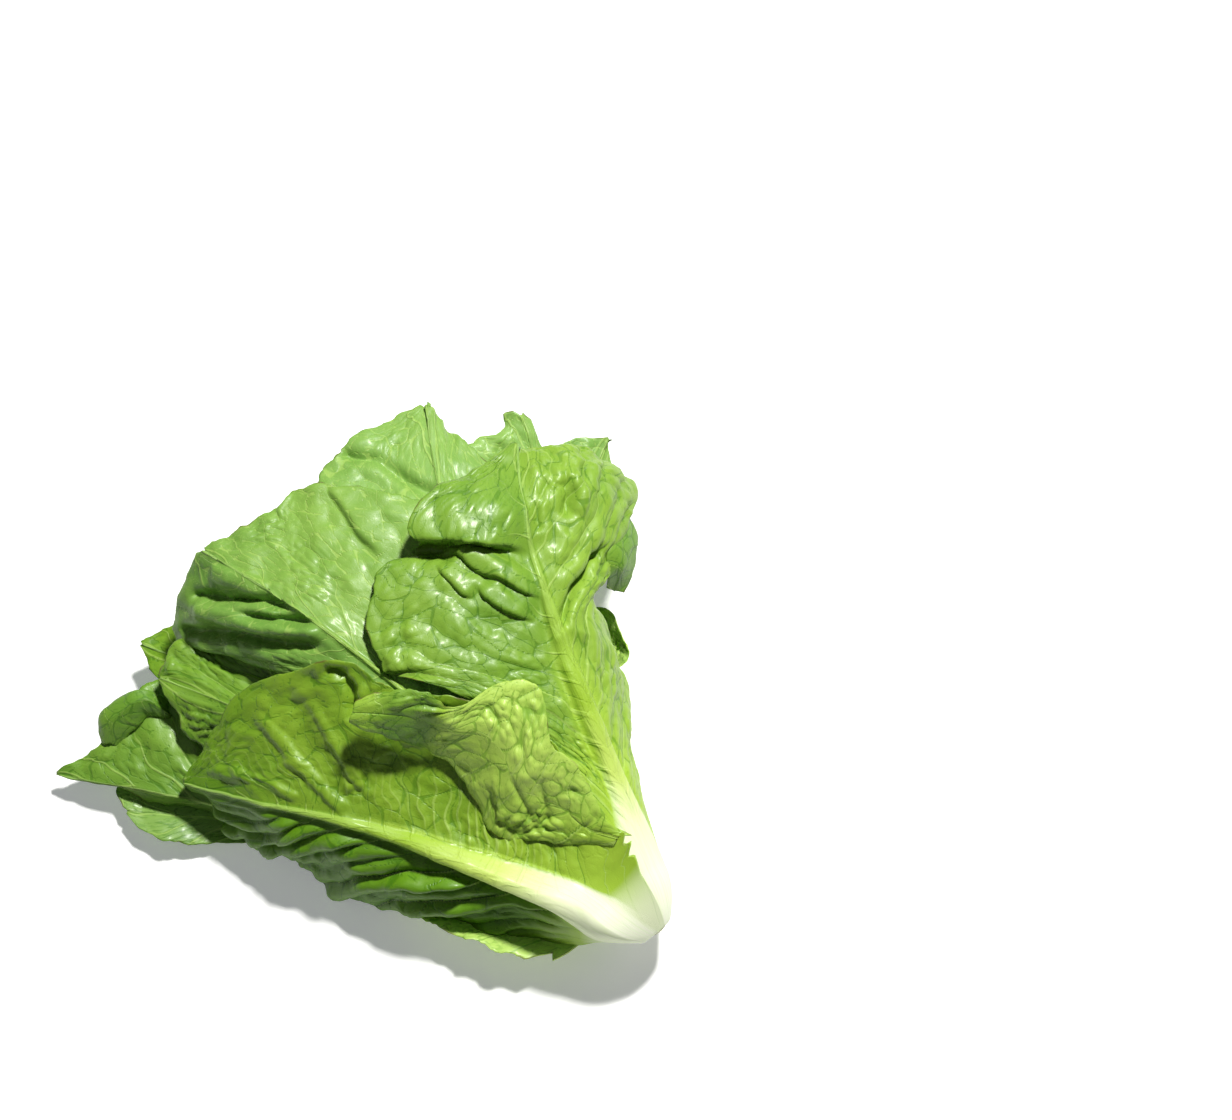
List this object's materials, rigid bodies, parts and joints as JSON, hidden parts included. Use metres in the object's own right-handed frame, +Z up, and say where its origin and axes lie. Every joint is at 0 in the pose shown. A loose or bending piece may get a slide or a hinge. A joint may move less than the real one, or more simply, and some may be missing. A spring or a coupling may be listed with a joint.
{
  "type": "romaine lettuce head",
  "caption": "Loose romaine lettuce head lying on its side: separate ruffled leaves clasped round a short cut stem, broad outer leaves folded over the crown.",
  "frame": {"origin": "on the surface the head lies on, under the middle of its bounding box", "axes": "+Z up, +Y along the head from the cut stem to the leaf tips, +X to the right seen from the stem"},
  "size_m": [0.3174, 0.2772, 0.1095],
  "materials": {
    "stem": "moist creamy white cut stem, faintly fibrous",
    "outer_leaf": "waxy mid-green leaf, blistered, pale yellow-green midrib turning white at the base",
    "inner_leaf": "waxy green leaf, net-veined, with a paler raised midrib",
    "heart_leaf": "pale yellow-green crisp leaf"
  },
  "bodies": {
    "root": {"stem": "stem", "outer_leaf_right": "outer_leaf", "outer_leaf_left": "outer_leaf", "upper_leaf_left": "inner_leaf", "upper_leaf_middle": "inner_leaf", "upper_leaf_right": "inner_leaf", "side_leaf_right": "inner_leaf", "under_leaf_right": "inner_leaf", "side_leaf_left": "inner_leaf", "far_leaf_left": "inner_leaf", "inner_leaf_left": "inner_leaf", "under_leaf_middle": "inner_leaf", "under_leaf_left": "inner_leaf", "heart_leaf_01": "heart_leaf", "heart_leaf_02": "heart_leaf", "heart_leaf_03": "heart_leaf", "heart_leaf_04": "heart_leaf", "heart_leaf_05": "heart_leaf", "heart_leaf_06": "heart_leaf", "heart_leaf_07": "heart_leaf", "heart_leaf_08": "heart_leaf", "heart_leaf_09": "heart_leaf", "heart_leaf_10": "heart_leaf", "heart_leaf_11": "heart_leaf", "heart_leaf_12": "heart_leaf"}
  },
  "joints": []
}
